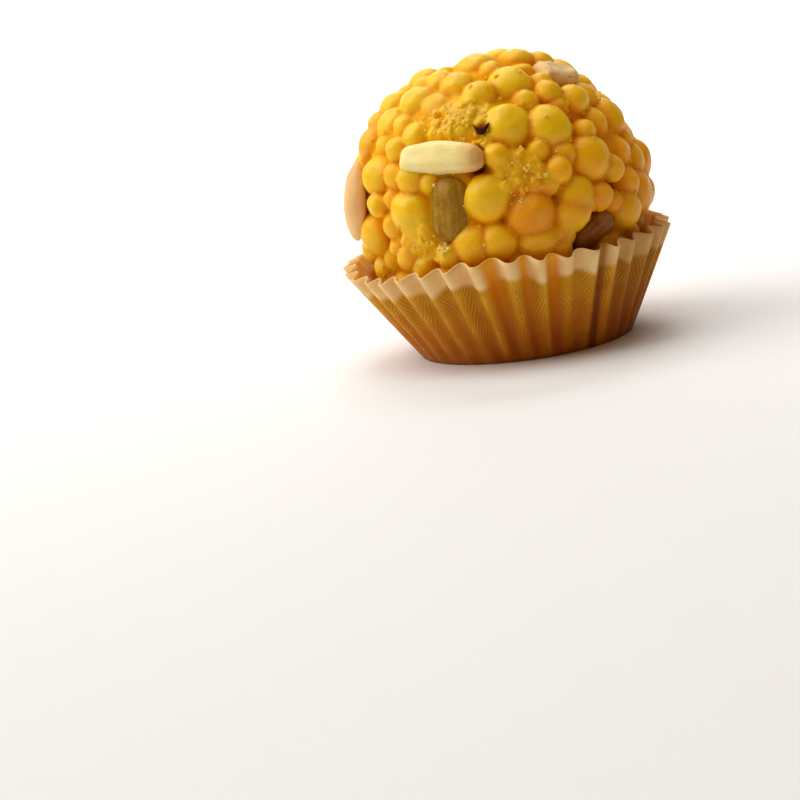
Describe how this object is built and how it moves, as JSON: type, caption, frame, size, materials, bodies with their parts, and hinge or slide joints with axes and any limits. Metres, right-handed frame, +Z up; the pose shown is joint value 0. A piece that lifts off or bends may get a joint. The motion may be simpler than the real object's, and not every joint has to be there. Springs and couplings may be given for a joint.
{
  "type": "boondi ladoo in a paper case",
  "caption": "Round sweet of fried gram-flour pearls set with nuts and raisins, standing in a pleated paper case.",
  "frame": {"origin": "centre of the paper case's flat base, on the surface that the case stands on", "axes": "+Z up, -Y towards the side with the cashew stick and the golden raisin, +X to that side's right"},
  "size_m": [0.0526, 0.0526, 0.0465],
  "materials": {
    "boondi": "moist and slightly translucent golden-yellow fried gram flour soaked in syrup",
    "paper": "thin greaseproof paper, cream at the rim and inside, with gold leaf veins outside",
    "cashew": "pale cream broken cashew, satin",
    "blanched_almond": "skinned almond half, tan cream, satin",
    "golden_raisin": "translucent olive-brown raisin with syrup on it",
    "brown_raisin": "translucent dark brown raisin with syrup on it"
  },
  "bodies": {
    "root": {"boondi_ball": "boondi", "paper_case": "paper", "cashew_stick": "cashew", "cashew_chunk": "cashew", "cashew_back": "cashew", "almond_half": "blanched_almond", "almond_back": "blanched_almond", "raisin_golden": "golden_raisin", "raisin_brown": "brown_raisin", "raisin_back": "brown_raisin"}
  },
  "joints": []
}
